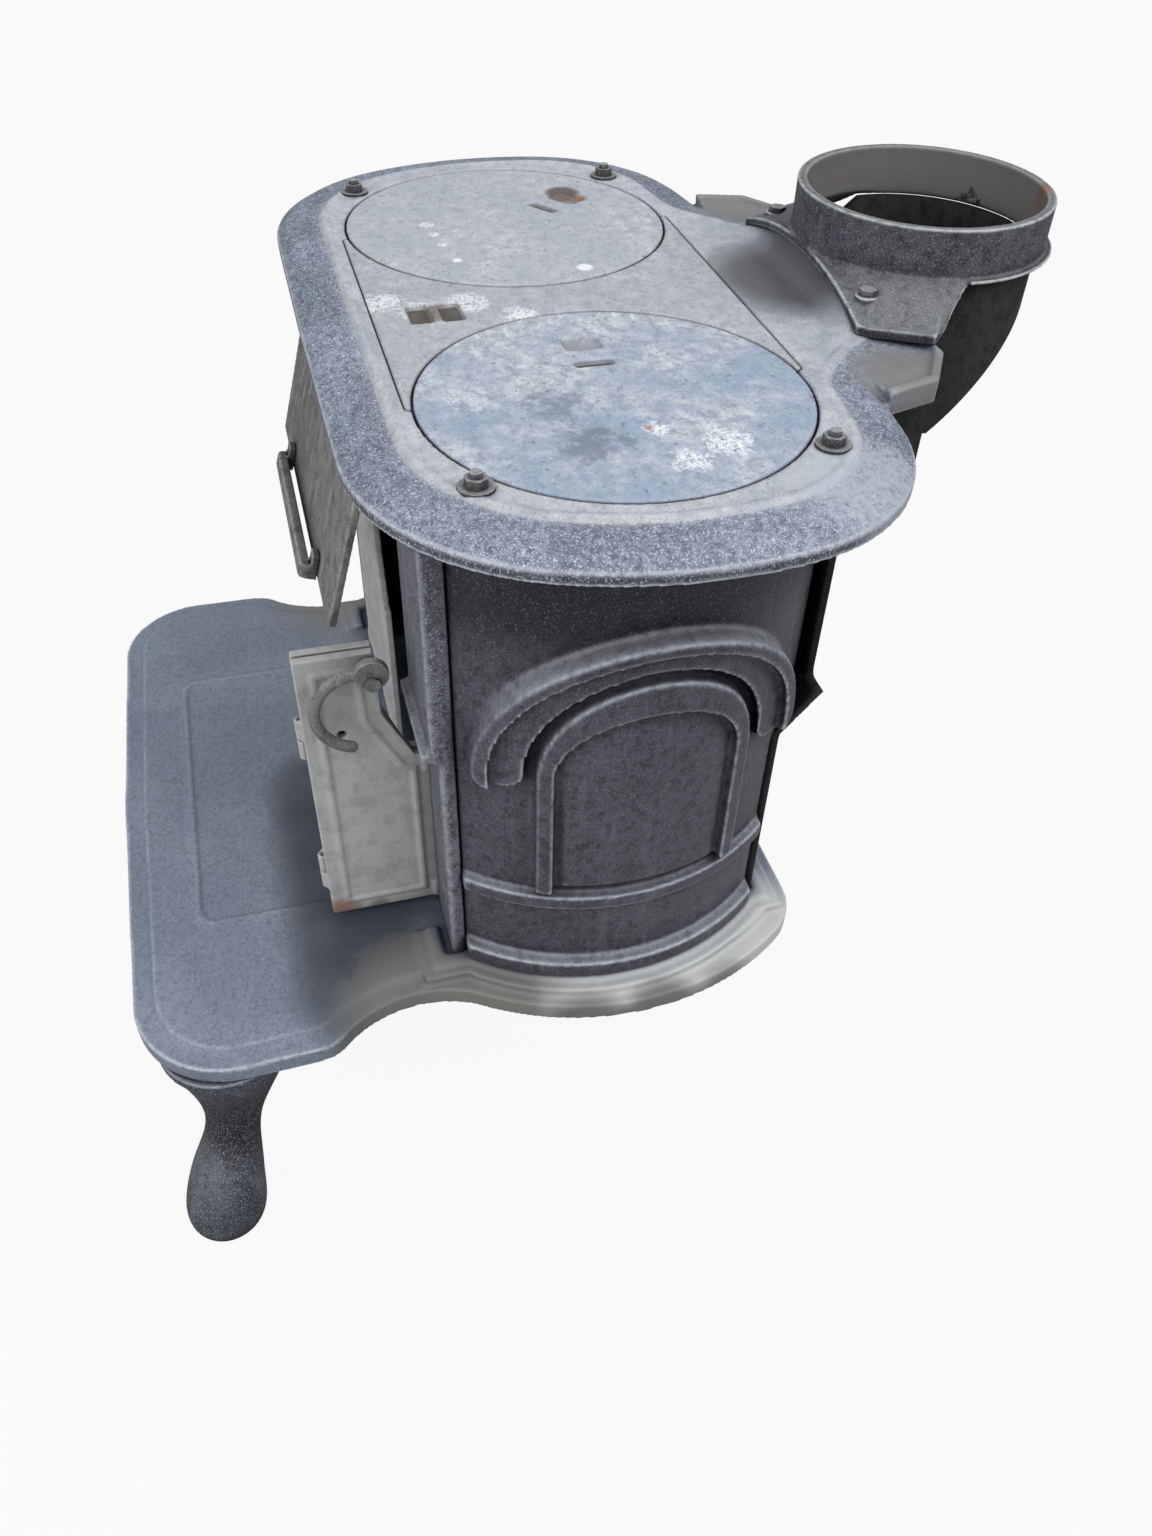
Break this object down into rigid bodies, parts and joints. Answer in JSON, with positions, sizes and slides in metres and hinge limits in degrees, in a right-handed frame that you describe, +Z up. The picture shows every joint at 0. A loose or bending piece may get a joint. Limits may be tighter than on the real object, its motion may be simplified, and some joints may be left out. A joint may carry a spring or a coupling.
{
  "type": "franklin stove",
  "caption": "Cast iron franklin stove with bowed ornamented sides, folding front doors, a lifting smoke hood, cooking lids, a wide hearth on cabriole legs and a rear pipe collar",
  "frame": {"origin": "on the floor, below the middle of the stove's outer box", "axes": "+Z up, -Y out of the hearth towards the room, +X to the stove's own side panel that the picture shows"},
  "size_m": [0.5374, 0.616, 0.5785],
  "materials": {
    "cast_iron": "worn cast iron with dust and light wear on raised edges",
    "lid_iron": "cast iron worn bright by pots, scuffed",
    "dusty_iron": "cast iron under a grey film of ash",
    "sooty_iron": "soot black cast iron",
    "rusty_steel": "dull dirty steel with some rust"
  },
  "bodies": {
    "stove": {"hearth_base": "cast_iron", "front_right_leg": "cast_iron", "front_left_leg": "cast_iron", "rear_right_leg": "cast_iron", "rear_left_leg": "cast_iron", "right_side_panel": "cast_iron", "left_side_panel": "cast_iron", "back_panel": "cast_iron", "front_frame": "cast_iron", "top_plate": "cast_iron", "smoke_box": "sooty_iron", "smoke_collar": "cast_iron", "fire_grate": "sooty_iron", "leg_bolts": "rusty_steel", "base_bolts": "rusty_steel", "back_bolts": "rusty_steel", "frame_bolts": "rusty_steel", "top_studs": "rusty_steel", "top_nuts": "rusty_steel", "top_washers": "rusty_steel", "collar_bolts": "rusty_steel", "door_hinge_pins": "rusty_steel", "hood_hinge_pins": "rusty_steel"},
    "hood": {"hood_flap": "dusty_iron", "hood_pull_bar": "dusty_iron", "hood_rivets": "rusty_steel"},
    "loose_plate": {"centre_plate": "lid_iron"},
    "right_cooking_lid": {"right_lid": "lid_iron"},
    "left_cooking_lid": {"left_lid": "lid_iron"},
    "right_outer_leaf": {"right_outer_door": "dusty_iron", "right_fold_pins": "rusty_steel", "right_door_handle": "dusty_iron", "right_handle_screw": "rusty_steel"},
    "right_inner_leaf": {"right_inner_door": "dusty_iron"},
    "left_outer_leaf": {"left_outer_door": "dusty_iron", "left_fold_pins": "rusty_steel"},
    "left_inner_leaf": {"left_inner_door": "dusty_iron"}
  },
  "joints": [
    {"name": "hood_hinge", "type": "hinge", "parent": "stove", "child": "hood", "pos_m": [0, -0.121, 0.513], "axis": [-1, 0, 0], "range_deg": [0, 45]},
    {"name": "loose_plate_lift", "type": "slide", "parent": "stove", "child": "loose_plate", "axis": [0, 0, 1], "range_m": [0, 0.08]},
    {"name": "right_lid_lift", "type": "slide", "parent": "loose_plate", "child": "right_cooking_lid", "axis": [0, 0, 1], "range_m": [0, 0.08]},
    {"name": "left_lid_lift", "type": "slide", "parent": "loose_plate", "child": "left_cooking_lid", "axis": [0, 0, 1], "range_m": [0, 0.08]},
    {"name": "right_door_hinge", "type": "hinge", "parent": "stove", "child": "right_outer_leaf", "pos_m": [0.1385, -0.108, 0.3], "axis": [0, 0, 1], "range_deg": [-90, 30]},
    {"name": "right_door_fold", "type": "hinge", "parent": "right_outer_leaf", "child": "right_inner_leaf", "pos_m": [0.135, -0.177, 0.3], "axis": [0, 0, 1], "range_deg": [0, 180]},
    {"name": "left_door_hinge", "type": "hinge", "parent": "stove", "child": "left_outer_leaf", "pos_m": [-0.1385, -0.108, 0.3], "axis": [0, 0, -1], "range_deg": [0, 135]},
    {"name": "left_door_fold", "type": "hinge", "parent": "left_outer_leaf", "child": "left_inner_leaf", "pos_m": [-0.0695, -0.1045, 0.3], "axis": [0, 0, 1], "range_deg": [0, 180]}
  ]
}
